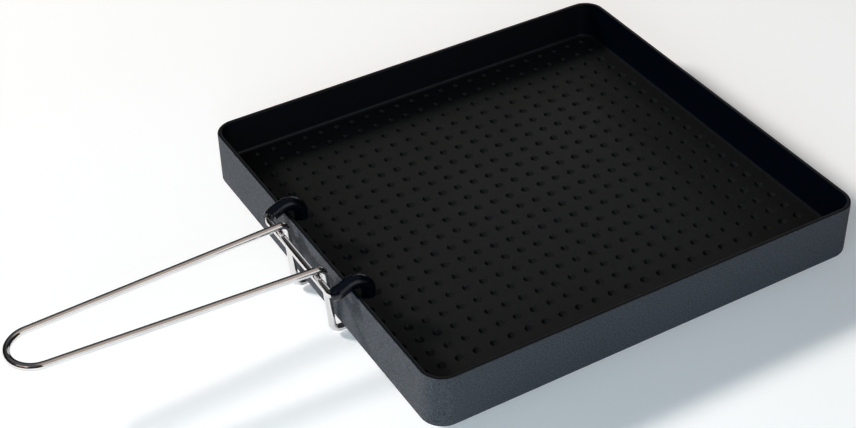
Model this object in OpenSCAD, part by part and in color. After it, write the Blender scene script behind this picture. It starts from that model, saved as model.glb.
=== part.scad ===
// Camp griddle plate: a cast square pan with a dimpled floor and a wire handle that clips on to its rim.
// Millimetres, +Z up. The origin is on the table, under the middle of the pan. The handle points to -X.

/* [Pan] */
// Length of the pan over its rim, along the handle
pan_length = 254; // [220:1:300]
// Width of the pan over its rim
pan_width = 240; // [210:1:280]
// Height of the wall on the outside
wall_height = 30.5; // [26:0.5:38]
// Thickness of the wall
wall_thickness = 2.5; // [2.5:0.1:4]
// Radius of the upright corners, outside
corner_radius = 12; // [10:0.5:20]
// Thickness of the floor
floor_thickness = 8; // [5:0.5:10]
// Radius where the wall meets the floor, inside
floor_fillet = 2; // [2:0.5:5]
// Radius of the lower outer edge
lower_edge = 1; // [1:0.5:4]
// Radius of the two edges of the rim
rim_edge = 0.8; // [0.4:0.1:1]

/* [Dimples] */
// Dimples along the pan
dimple_columns = 24; // [6:1:24]
// Dimples across the pan
dimple_rows = 22; // [6:1:22]
// From the outside of the wall to the first column
column_margin = 12.8; // [11:0.2:20]
// From the outside of the wall to the first row
row_margin = 9.4; // [9.4:0.2:20]
// Width of a dimple at the floor
dimple_width = 4.6; // [3:0.2:4.6]
// Depth of a dimple
dimple_depth = 1.3; // [0.5:0.1:1.5]

/* [Stand] */
// Height of the ribs under the floor
stand_height = 9.5; // [9.5:0.5:14]
// Width of a rib
rib_width = 8; // [5:0.5:14]
// From the middle of the pan to the end of a rib
rib_reach = 116; // [80:1:130]

/* [Clip] */
// Diameter of the wire
wire_diameter = 4; // [3:0.1:4.4]
// Sideways place of the clip on the wall
clip_shift = -5.5; // [-40:0.5:40]
// From the wall to the middle of the bar
bar_distance = 9.5; // [9:0.1:12]
// From hook to hook
hook_spacing = 72; // [64:1:90]
// How steeply the hooks rise to the rim, in degrees
hook_rise = 24; // [18:1:28]
// From the outside of the wall to the inner leg of a hook
hook_reach = 10.1; // [9.6:0.1:13]
// Bend at the top of a hook, at the middle of the wire
hook_bend = 8; // [7:0.1:8.5]
// Bend from the bar to a hook, at the middle of the wire
bar_bend = 4.5; // [4.2:0.1:6]
// How far the hooks go down inside the wall
hook_depth = 6.9; // [5.5:0.1:14]
// Wall of a sleeve
sleeve_wall = 1.6; // [1:0.1:1.8]
// How far a sleeve runs round the bend to the bar, in degrees
sleeve_wrap = 42; // [6:1:60]
// How far a sleeve runs past the end of the wire
sleeve_lip = 1; // [0.5:0.5:2]

/* [Handle] */
// Sideways place of the handle on the bar
handle_shift = 1.2; // [-4:0.1:4]
// From the bar to the middle of the wire at the tip
handle_length = 149; // [110:0.5:200]
// Width between the arms at the bar, middle to middle
arm_spacing = 40.5; // [34:0.5:46]
// Radius of the tip, at the middle of the wire
tip_radius = 13.7; // [9:0.1:15]
// How far the legs lean in to the wall, in degrees
leg_lean = 4; // [2:0.5:5]
// Bend from a leg to its foot, at the middle of the wire
foot_bend = 4.5; // [3.5:0.5:5]
// From the underside of the floor down to the middle of a foot
foot_drop = 6.6; // [5:0.1:6.8]
// Straight length of a foot
foot_length = 6.8; // [3:0.2:12]

/* [Fit] */
// Gap between a sleeve and the rim it hangs on
seat_gap = 0.3; // [0.2:0.05:0.5]
// Gap between the handle and the bar it turns on
turn_gap = 0.33; // [0.3:0.01:0.5]
// Gap between a sleeve and its wire, all round
sleeve_gap = 0.05; // [0.02:0.01:0.1]
// How much thicker a bend of the wire is, all round
bend_swell = 0.03; // [0.02:0.01:0.06]

/* [Hidden] */
$fn = 64;
bend_lap = 0.3;

corner_x = pan_length / 2 - corner_radius;
corner_y = pan_width / 2 - corner_radius;
floor_top = stand_height + floor_thickness;
rim_top = stand_height + wall_height;
wall_x = -pan_length / 2;

column_pitch = (pan_length - 2 * column_margin) / (dimple_columns - 1);
row_pitch = (pan_width - 2 * row_margin) / (dimple_rows - 1);
dimple_radius = (dimple_width * dimple_width / 4 + dimple_depth * dimple_depth) / (2 * dimple_depth);

rib_angle = atan2(pan_width, pan_length);

sleeve_bore = wire_diameter + 2 * sleeve_gap;
sleeve_outer = sleeve_bore + 2 * sleeve_wall;
bar_x = wall_x - bar_distance;
rim_grip = sleeve_outer / 2 + seat_gap + rim_edge;
bar_z = rim_top - rim_edge + rim_grip / cos(hook_rise) - (bar_distance + rim_edge) * tan(hook_rise);
hook_run = (bar_distance + hook_reach - hook_bend * (1 + sin(hook_rise))) / cos(hook_rise);
hook_top = bar_z + hook_run * sin(hook_rise) - hook_bend * cos(hook_rise);
hook_leg = hook_top - (rim_top - hook_depth);

wrap_radius = wire_diameter + turn_gap;
tip_distance = handle_length - tip_radius;
arm_reach = sqrt(tip_distance * tip_distance + arm_spacing * arm_spacing / 4);
arm_turn = atan2(arm_spacing / 2, tip_distance) - asin(tip_radius / arm_reach);
arm_length = sqrt(arm_reach * arm_reach - tip_radius * tip_radius);
foot_z = stand_height - foot_drop;
leg_fall = bar_z + wrap_radius * sin(leg_lean) - foot_z - foot_bend * (1 - sin(leg_lean));
leg_length = leg_fall / cos(leg_lean);

// A quarter of a square left outside a round of the same radius, to fill or cut an edge
module edge_piece(radius) {
    difference() {
        square(radius);
        circle(radius);
    }
}

// Section through wall and floor, from the axis of a corner outwards
module wall_section() {
    difference() {
        union() {
            square([corner_radius, floor_thickness]);
            translate([corner_radius - wall_thickness, 0]) square([wall_thickness, wall_height]);
            translate([corner_radius - wall_thickness - floor_fillet, floor_thickness + floor_fillet])
                mirror([0, 1]) edge_piece(floor_fillet);
        }
        translate([corner_radius - lower_edge, lower_edge]) mirror([0, 1]) edge_piece(lower_edge);
        translate([corner_radius - rim_edge, wall_height - rim_edge]) edge_piece(rim_edge);
        translate([corner_radius - wall_thickness + rim_edge, wall_height - rim_edge])
            mirror([1, 0]) edge_piece(rim_edge);
    }
}

module wall_side(distance, length) {
    translate([distance, 0, stand_height])
        rotate([90, 0, 0]) linear_extrude(length, center = true) wall_section();
}

module wall_corner() {
    translate([corner_x, corner_y, stand_height]) rotate_extrude(angle = 90) wall_section();
}

module standing_rib(angle) {
    rotate([0, 0, angle]) {
        translate([-rib_reach, -rib_width / 2, 0]) cube([2 * rib_reach, rib_width, stand_height + 1]);
        for (side = [-1, 1])
            translate([side * rib_reach, 0, 0]) cylinder(d = rib_width, h = stand_height + 1);
    }
}

module dimples() {
    for (column = [0 : dimple_columns - 1])
        for (row = [0 : dimple_rows - 1])
            translate([(column - (dimple_columns - 1) / 2) * column_pitch,
                       (row - (dimple_rows - 1) / 2) * row_pitch,
                       floor_top + dimple_radius - dimple_depth])
                sphere(dimple_radius, $fn = 24);
}

module griddle_pan() {
    color([0.09, 0.09, 0.10])
        difference() {
            union() {
                translate([-corner_x, -corner_y, stand_height])
                    cube([2 * corner_x, 2 * corner_y, floor_thickness]);
                for (turn = [0, 180]) {
                    rotate([0, 0, turn]) wall_side(corner_x, 2 * corner_y);
                    rotate([0, 0, turn + 90]) wall_side(corner_y, 2 * corner_x);
                    rotate([0, 0, turn]) wall_corner();
                    rotate([0, 0, turn]) mirror([1, 0, 0]) wall_corner();
                }
                standing_rib(rib_angle);
                standing_rib(-rib_angle);
            }
            dimples();
        }
}

// Wires and tubes run along +X and bend towards +Y; children carry on from the end.
// A bend is a little thicker than a straight, which laps into it.
module along(length) {
    translate([length, 0, 0]) children();
}

module around(radius, angle) {
    translate([0, radius, 0]) rotate([0, 0, angle]) translate([0, -radius, 0]) children();
}

module straight(length, diameter, end_lap = bend_lap) {
    along(-bend_lap) rotate([0, 90, 0]) cylinder(d = diameter, h = bend_lap + length + end_lap);
    along(length) children();
}

module elbow(radius, angle, diameter) {
    translate([0, radius, 0]) rotate([0, 0, -90])
        rotate_extrude(angle = angle) translate([radius, 0]) circle(d = diameter + 2 * bend_swell);
    around(radius, angle) children();
}

// From the bar round its bend, up to the rim, over it and down inside the wall
module hook_path(diameter, bend_angle, leg, end_lap) {
    translate([bar_x, 0, bar_z]) rotate([0, 0, 90]) rotate([180 - hook_rise, 0, 0])
        along(hook_spacing / 2 - bar_bend) around(bar_bend, 90 - bend_angle)
            elbow(bar_bend, bend_angle, diameter)
                straight(hook_run - bar_bend, diameter)
                    rotate([90, 0, 0]) elbow(hook_bend, 90 + hook_rise, diameter)
                        straight(leg, diameter, end_lap);
}

module hook_wire() {
    bar_length = hook_spacing - 2 * bar_bend;
    color([0.75, 0.75, 0.74])
        translate([0, clip_shift, 0]) {
            translate([bar_x, -bar_length / 2, bar_z]) rotate([0, 0, 90]) straight(bar_length, wire_diameter);
            hook_path(wire_diameter, 90, hook_leg - sleeve_lip, 0);
            mirror([0, 1, 0]) hook_path(wire_diameter, 90, hook_leg - sleeve_lip, 0);
        }
}

module sleeve_tube() {
    difference() {
        hook_path(sleeve_outer, sleeve_wrap, hook_leg, 0);
        hook_path(sleeve_bore, 90, hook_leg, 1);
    }
}

module left_sleeve() {
    color([0.05, 0.05, 0.06]) translate([0, clip_shift, 0]) sleeve_tube();
}

module right_sleeve() {
    color([0.05, 0.05, 0.06]) translate([0, clip_shift, 0]) mirror([0, 1, 0]) sleeve_tube();
}

module handle_side() {
    translate([bar_x, arm_spacing / 2, bar_z + wrap_radius]) rotate([0, 0, arm_turn]) {
        rotate([0, 0, 180]) straight(arm_length, wire_diameter);
        rotate([-90, 0, 0]) elbow(wrap_radius, 90 - leg_lean, wire_diameter)
            straight(leg_length, wire_diameter)
                rotate([180, 0, 0]) elbow(foot_bend, 90 - leg_lean, wire_diameter)
                    straight(foot_length, wire_diameter, 0);
    }
}

module handle_wire() {
    color([0.78, 0.78, 0.77])
        translate([0, clip_shift + handle_shift, 0]) {
            handle_side();
            mirror([0, 1, 0]) handle_side();
            translate([bar_x - tip_distance, tip_radius, bar_z + wrap_radius]) rotate([0, 0, 180])
                translate([0, tip_radius, 0]) rotate([0, 0, arm_turn]) translate([0, -tip_radius, 0])
                    elbow(tip_radius, 180 - 2 * arm_turn, wire_diameter);
        }
}

griddle_pan();
hook_wire();
left_sleeve();
right_sleeve();
handle_wire();
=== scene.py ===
import bpy
import math
from mathutils import Matrix, Vector


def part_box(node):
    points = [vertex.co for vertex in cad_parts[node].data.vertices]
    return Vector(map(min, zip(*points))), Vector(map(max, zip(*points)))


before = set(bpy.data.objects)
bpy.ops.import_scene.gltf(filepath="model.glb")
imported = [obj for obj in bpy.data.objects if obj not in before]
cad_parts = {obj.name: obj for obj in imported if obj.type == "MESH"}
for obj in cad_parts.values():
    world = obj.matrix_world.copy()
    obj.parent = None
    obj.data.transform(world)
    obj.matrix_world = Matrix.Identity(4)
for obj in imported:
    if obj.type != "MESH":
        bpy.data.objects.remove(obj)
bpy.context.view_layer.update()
print("frame loaded:", sorted(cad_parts))

scene = bpy.context.scene
scene.view_settings.view_transform = "Standard"


def addNode(tree, kind, values=None, **settings):
    made = tree.nodes.new(kind)
    for name, value in settings.items():
        setattr(made, name, value)
    for name, value in (values or {}).items():
        if isinstance(value, bpy.types.NodeSocket):
            tree.links.new(value, made.inputs[name])
        else:
            made.inputs[name].default_value = value
    return made


def mathNode(tree, operation, a, b=None, clamp=False):
    values = {0: a}
    if b is not None:
        values[1] = b
    return addNode(tree, "ShaderNodeMath", values, operation=operation, use_clamp=clamp).outputs[0]


def mixColour(tree, factor, a, b):
    return addNode(tree, "ShaderNodeMix", {0: factor, 6: a, 7: b}, data_type="RGBA").outputs[2]


def mixValue(tree, factor, a, b):
    return addNode(tree, "ShaderNodeMix", {0: factor, 2: a, 3: b}).outputs[0]


# goes from 0 to 1 across a band beside an edge
def fade(tree, value, edge, band):
    values = {"Value": value, "From Min": edge + band[0], "From Max": edge + band[1]}
    return addNode(tree, "ShaderNodeMapRange", values).outputs[0]


def noise(tree, place, scale, detail, roughness=0.5):
    values = {"Vector": place, "Scale": scale, "Detail": detail, "Roughness": roughness}
    return addNode(tree, "ShaderNodeTexNoise", values).outputs[0]


# most of a noise lies between 0.3 and 0.7
def spread(tree, pattern, low, high):
    values = {"Value": pattern, "From Min": 0.3, "From Max": 0.7, "To Min": low, "To Max": high}
    return addNode(tree, "ShaderNodeMapRange", values).outputs[0]


def toned(tree, colour, tone):
    return addNode(tree, "ShaderNodeVectorMath", {0: colour[:3], 1: tone}, operation="MULTIPLY").outputs[0]


def roughen(tree, shader, height, strength, depth):
    bump = addNode(tree, "ShaderNodeBump", {"Strength": strength, "Distance": depth, "Height": height})
    tree.links.new(bump.outputs[0], shader.inputs["Normal"])


def newMaterial(name):
    material = bpy.data.materials.new(name)
    material.use_nodes = True
    return material, material.node_tree, material.node_tree.nodes["Principled BSDF"]


def dress(material, *names):
    for name in names:
        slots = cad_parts[name].data.materials
        slots.clear()
        slots.append(material)


# pan

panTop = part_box("griddle_pan")[1]
pan = {
    "halfLength": panTop.x,
    "halfWidth": panTop.y,
    "rimTop": panTop.z,
    "cornerRadius": 0.012,
    "wall": 0.0025,
    "floorTop": 0.0175,
    "outsideBand": (-0.0005, -0.0003),    # from the outer face, as the next one
    "rimOuterBand": (-0.0008, -0.0011),
    "rimInnerBand": (0.0002, 0.0005),     # from the inner face
    "undersideBand": (-0.0025, -0.0030),  # from the floor's top, as the next one
    "floorBand": (0.0009, 0.0001),
    "rimFlat": 0.0002,                    # depth of the rim's flat top
    "rimRound": 0.0012,                   # the inside of the wall starts this far down
    "outsideColour": (0.064, 0.067, 0.0743, 1),
    "insideColour": (0.0080, 0.0080, 0.0073, 1),
    # painted shade: the inside of the wall is the same coat as the floor, painted near black with a bluish
    # tint for painted bluish light
    "wallShadeColour": (0.0001, 0.0011, 0.0030, 1),
    "outsideRoughness": 0.85,
    "insideRoughness": 0.36,
    "insideRoughnessDown": 0.04,
    "insideRoughnessUp": 0.05,
    "wallRoughness": 0.45,
    "specular": 0.30,
    "wallSheen": 0.4,
    "wallSheenRoughness": 0.6,
    "speckleScale": 1100.0,
    "speckleTone": (0.35, 1.65),
    "grainScale": 1500.0,
    "grainTone": (0.45, 1.60),
    "cloudScale": 18.0,
    "cloudTone": (0.95, 1.05),
    "bumpStrength": 0.5,
    "bumpDepth": 0.0001,
}

# masks that tell the outside, the level floor and rim, and the inside of the wall apart; the inside of the
# wall and the rim's rounded edges are the floor's coat with painted shade, darker and bluer than the floor
zones = bpy.data.node_groups.new("panZones", "ShaderNodeTree")
zones.interface.new_socket("Position", in_out="INPUT", socket_type="NodeSocketVector")
for name in ("Outside", "Level", "Wall"):
    zones.interface.new_socket(name, in_out="OUTPUT", socket_type="NodeSocketFloat")
zoneIn = zones.nodes.new("NodeGroupInput")
zoneOut = zones.nodes.new("NodeGroupOutput")
split = addNode(zones, "ShaderNodeSeparateXYZ", {0: zoneIn.outputs["Position"]})
along, across, up = split.outputs

# reach is the corner radius all round the outer face
pastX = mathNode(zones, "SUBTRACT", mathNode(zones, "ABSOLUTE", along),
                 pan["halfLength"] - pan["cornerRadius"])
pastY = mathNode(zones, "SUBTRACT", mathNode(zones, "ABSOLUTE", across),
                 pan["halfWidth"] - pan["cornerRadius"])
outX = mathNode(zones, "MAXIMUM", pastX, 0.0)
outY = mathNode(zones, "MAXIMUM", pastY, 0.0)
reach = mathNode(zones, "SQRT", mathNode(zones, "ADD", mathNode(zones, "MULTIPLY", outX, outX),
                                         mathNode(zones, "MULTIPLY", outY, outY)))
outerFace = pan["cornerRadius"]
innerFace = pan["cornerRadius"] - pan["wall"]

beside = fade(zones, reach, outerFace, pan["outsideBand"])
below = fade(zones, up, pan["floorTop"], pan["undersideBand"])
zones.links.new(mathNode(zones, "MAXIMUM", beside, below), zoneOut.inputs["Outside"])

rimTop = mathNode(zones, "GREATER_THAN", up, pan["rimTop"] - pan["rimFlat"])
rimMiddle = mathNode(zones, "MULTIPLY", fade(zones, reach, outerFace, pan["rimOuterBand"]),
                     fade(zones, reach, innerFace, pan["rimInnerBand"]))
low = fade(zones, up, pan["floorTop"], pan["floorBand"])
zones.links.new(mathNode(zones, "MAXIMUM", low, mathNode(zones, "MULTIPLY", rimTop, rimMiddle)),
                zoneOut.inputs["Level"])

underRim = mathNode(zones, "LESS_THAN", up, pan["rimTop"] - pan["rimRound"])
overFloor = mathNode(zones, "SUBTRACT", 1.0, mathNode(zones, "MAXIMUM", low, beside), clamp=True)
zones.links.new(mathNode(zones, "MULTIPLY", underRim, overFloor), zoneOut.inputs["Wall"])

panMaterial, tree, shader = newMaterial("panCoat")
place = addNode(tree, "ShaderNodeTexCoord").outputs["Object"]
zone = addNode(tree, "ShaderNodeGroup", node_tree=zones)
tree.links.new(place, zone.inputs["Position"])
speckle = noise(tree, place, pan["speckleScale"], detail=4.0, roughness=0.7)
grain = noise(tree, place, pan["grainScale"], detail=3.0, roughness=0.7)
cloud = noise(tree, place, pan["cloudScale"], detail=3.0)

outsideTone = mathNode(tree, "MULTIPLY", spread(tree, speckle, *pan["speckleTone"]),
                       spread(tree, cloud, *pan["cloudTone"]))
outside = toned(tree, pan["outsideColour"], outsideTone)
level = toned(tree, pan["insideColour"], spread(tree, grain, *pan["grainTone"]))
# the wall and the rim's rounded edges take the painted shade colour, the floor and the rim's flat top keep
# the coat's own tone
inside = mixColour(tree, zone.outputs["Level"], pan["wallShadeColour"], level)
tree.links.new(mixColour(tree, zone.outputs["Outside"], inside, outside), shader.inputs["Base Color"])

levelRoughness = spread(tree, cloud, pan["insideRoughness"] - pan["insideRoughnessDown"],
                        pan["insideRoughness"] + pan["insideRoughnessUp"])
insideRoughness = mixValue(tree, zone.outputs["Level"], pan["wallRoughness"], levelRoughness)
tree.links.new(mixValue(tree, zone.outputs["Outside"], insideRoughness, pan["outsideRoughness"]),
               shader.inputs["Roughness"])
shader.inputs["Specular IOR Level"].default_value = pan["specular"]
tree.links.new(mathNode(tree, "MULTIPLY", zone.outputs["Wall"], pan["wallSheen"]),
               shader.inputs["Coat Weight"])
shader.inputs["Coat Roughness"].default_value = pan["wallSheenRoughness"]
height = mathNode(tree, "MULTIPLY", mathNode(tree, "ADD", speckle, grain),
                  mathNode(tree, "MAXIMUM", zone.outputs["Outside"], zone.outputs["Level"]))
roughen(tree, shader, height, pan["bumpStrength"], pan["bumpDepth"])
dress(panMaterial, "griddle_pan")
print("pan done")

# wires

wire = {
    "colour": (0.80, 0.79, 0.78, 1),
    "rubScale": 60.0,
    "rubTone": (0.92, 1.04),
    "roughness": 0.07,
    "roughnessDown": 0.02,
    "roughnessUp": 0.03,
    "drawnScale": 350.0,
    "bumpStrength": 0.03,
    "bumpDepth": 0.0001,
}
wireNames = ("hook_wire", "handle_wire")

wireMaterial, tree, shader = newMaterial("brightWire")
place = addNode(tree, "ShaderNodeTexCoord").outputs["Object"]
drawn = noise(tree, place, wire["drawnScale"], detail=3.0)
rub = noise(tree, place, wire["rubScale"], detail=2.0)
tree.links.new(spread(tree, drawn, wire["roughness"] - wire["roughnessDown"],
                      wire["roughness"] + wire["roughnessUp"]), shader.inputs["Roughness"])
tree.links.new(toned(tree, wire["colour"], spread(tree, rub, *wire["rubTone"])),
               shader.inputs["Base Color"])
shader.inputs["Metallic"].default_value = 1.0
roughen(tree, shader, drawn, wire["bumpStrength"], wire["bumpDepth"])
dress(wireMaterial, *wireNames)
print("wires done")

# sleeves

sleeve = {
    "colour": (0.0008, 0.0019, 0.0045, 1),
    "roughness": 0.24,
    "roughnessDown": 0.05,
    "roughnessUp": 0.07,
    "skinScale": 700.0,
    "bumpStrength": 0.12,
    "bumpDepth": 0.0001,
}

sleeveMaterial, tree, shader = newMaterial("blackSleeve")
place = addNode(tree, "ShaderNodeTexCoord").outputs["Object"]
skin = noise(tree, place, sleeve["skinScale"], detail=3.0)
tree.links.new(spread(tree, skin, sleeve["roughness"] - sleeve["roughnessDown"],
                      sleeve["roughness"] + sleeve["roughnessUp"]), shader.inputs["Roughness"])
shader.inputs["Base Color"].default_value = sleeve["colour"]
roughen(tree, shader, skin, sleeve["bumpStrength"], sleeve["bumpDepth"])
dress(sleeveMaterial, "left_sleeve", "right_sleeve")
print("sleeves done")

sharpAngle = math.radians(35)
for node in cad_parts.values():
    node.data.shade_smooth()
    node.data.set_sharp_from_angle(angle=sharpAngle)

# floor, light and camera

stage = {
    "floorSize": 8.0,
    "floorHeight": -0.0002,  # just under the pan's ribs
    "floorColour": (0.90, 0.865, 0.835, 1),
    "floorRoughness": 0.9,
    "floorSpecular": 0.1,
    "floorGlow": 0.22,
    "horizonHeight": 0.16,   # heights in the sky, 0 level and 1 overhead
    "horizon": (0.008, 0.008, 0.009, 1),
    "lowHeights": (0.28, 0.58),
    "low": (0.014, 0.012, 0.010, 1),
    "highHeight": 0.75,
    "high": (0.090, 0.096, 0.105, 1),
}

bpy.ops.mesh.primitive_plane_add(size=stage["floorSize"], location=(0, 0, stage["floorHeight"]))
floor = bpy.context.object
floor.name = "floor"
floorMaterial, tree, shader = newMaterial("paleFloor")
shader.inputs["Base Color"].default_value = stage["floorColour"]
shader.inputs["Roughness"].default_value = stage["floorRoughness"]
shader.inputs["Specular IOR Level"].default_value = stage["floorSpecular"]
rays = tree.nodes.new("ShaderNodeLightPath")
mirrored = mathNode(tree, "MAXIMUM", rays.outputs["Is Glossy Ray"], rays.outputs["Is Transmission Ray"])
seen = mathNode(tree, "MAXIMUM", rays.outputs["Is Camera Ray"], mirrored)
shader.inputs["Emission Color"].default_value = (1, 1, 1, 1)
tree.links.new(mathNode(tree, "MULTIPLY", seen, stage["floorGlow"]), shader.inputs["Emission Strength"])
floor.data.materials.append(floorMaterial)

world = bpy.data.worlds.new("studio")
scene.world = world
world.use_nodes = True
tree = world.node_tree
skyPlace = addNode(tree, "ShaderNodeTexCoord").outputs["Generated"]
skyHeight = addNode(tree, "ShaderNodeSeparateXYZ", {0: skyPlace}).outputs[2]
sky = addNode(tree, "ShaderNodeValToRGB", {0: skyHeight})
stops = sky.color_ramp.elements
stops[0].position, stops[0].color = stage["horizonHeight"], stage["horizon"]
stops[1].position, stops[1].color = stage["highHeight"], stage["high"]
for position in stage["lowHeights"]:
    stops.new(position).color = stage["low"]
tree.links.new(sky.outputs[0], tree.nodes["Background"].inputs[0])

# the two named Left light the scene and don't show in gloss, the cards show only in gloss
# name, place, target, width and height, watts, colour
lamps = [
    ("keyLeft", (-2.85, 2.75, 2.75), (0, 0, 0.02), (0.80, 0.80), 250.0, (1.0, 0.99, 0.97)),
    ("fillLeft", (-0.70, -0.80, 0.55), (0, 0, 0.02), (0.7, 0.5), 7.0, (0.56, 0.81, 1.0)),
    ("backCard", (0.61, 1.10, 0.80), (0, 0, 0.02), (0.36, 0.30), 0.20, (1.0, 0.99, 0.94)),
    ("lowCard", (1.25, 1.20, 0.46), (0, 0, 0.02), (0.88, 0.44), 1.2, (0.94, 0.97, 1.0)),
    ("overCard", (0.30, -0.60, 1.60), (0.30, -0.59, 0), (1.3, 2.0), 3.3, (1.0, 0.70, 0.50)),
    ("frontCard", (0.25, -1.55, 0.68), (0.0, 0, 0.1), (1.4, 1.2), 5.0, (0.84, 0.94, 1.0)),
    ("tipCard", (-1.73, -0.38, 1.38), (-0.28, 0, 0.04), (1.3, 1.0), 1.6, (1.0, 0.74, 0.54)),
    ("spotCard", (-1.35, -0.55, 1.15), (-0.28, 0, 0.04), (0.30, 0.22), 0.25, (1.0, 0.97, 0.93)),
]
for name, place, target, size, power, colour in lamps:
    light = bpy.data.lights.new(name, "AREA")
    light.shape = "RECTANGLE"
    light.size, light.size_y = size
    light.energy = power
    light.color = colour
    lamp = bpy.data.objects.new(name, light)
    scene.collection.objects.link(lamp)
    lamp.location = place
    lamp.visible_glossy = name.endswith("Card")
    lamp.visible_diffuse = name.endswith("Left")
    lamp.rotation_euler = (Vector(target) - Vector(place)).to_track_quat("-Z", "Y").to_euler()

# the tan cards show in the wires only
wires = bpy.data.collections.new("wires")
for name in wireNames:
    wires.objects.link(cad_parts[name])
for name in ("overCard", "tipCard"):
    bpy.data.objects[name].light_linking.receiver_collection = wires

view = {
    "place": (-0.394639, -0.592547, 0.566002),
    "ahead": (0.38754, 0.68406, -0.61797),
    "rollDegrees": -1.53,
    "lens": 70.146,
    "sensorWidth": 36,
    "clipStart": 0.01,
}
camera = bpy.data.objects.new("photoCamera", bpy.data.cameras.new("photoCamera"))
scene.collection.objects.link(camera)
camera.data.sensor_fit = "HORIZONTAL"
camera.data.sensor_width = view["sensorWidth"]
camera.data.lens = view["lens"]
camera.data.clip_start = view["clipStart"]
ahead = Vector(view["ahead"]).normalized()
levelRight = ahead.cross(Vector((0, 0, 1))).normalized()
roll = math.radians(view["rollDegrees"])
right = math.cos(roll) * levelRight + math.sin(roll) * levelRight.cross(ahead)
turn = Matrix((right, right.cross(ahead), -ahead)).transposed()
camera.matrix_world = Matrix.Translation(view["place"]) @ turn.to_4x4()
scene.camera = camera

print("stage done")
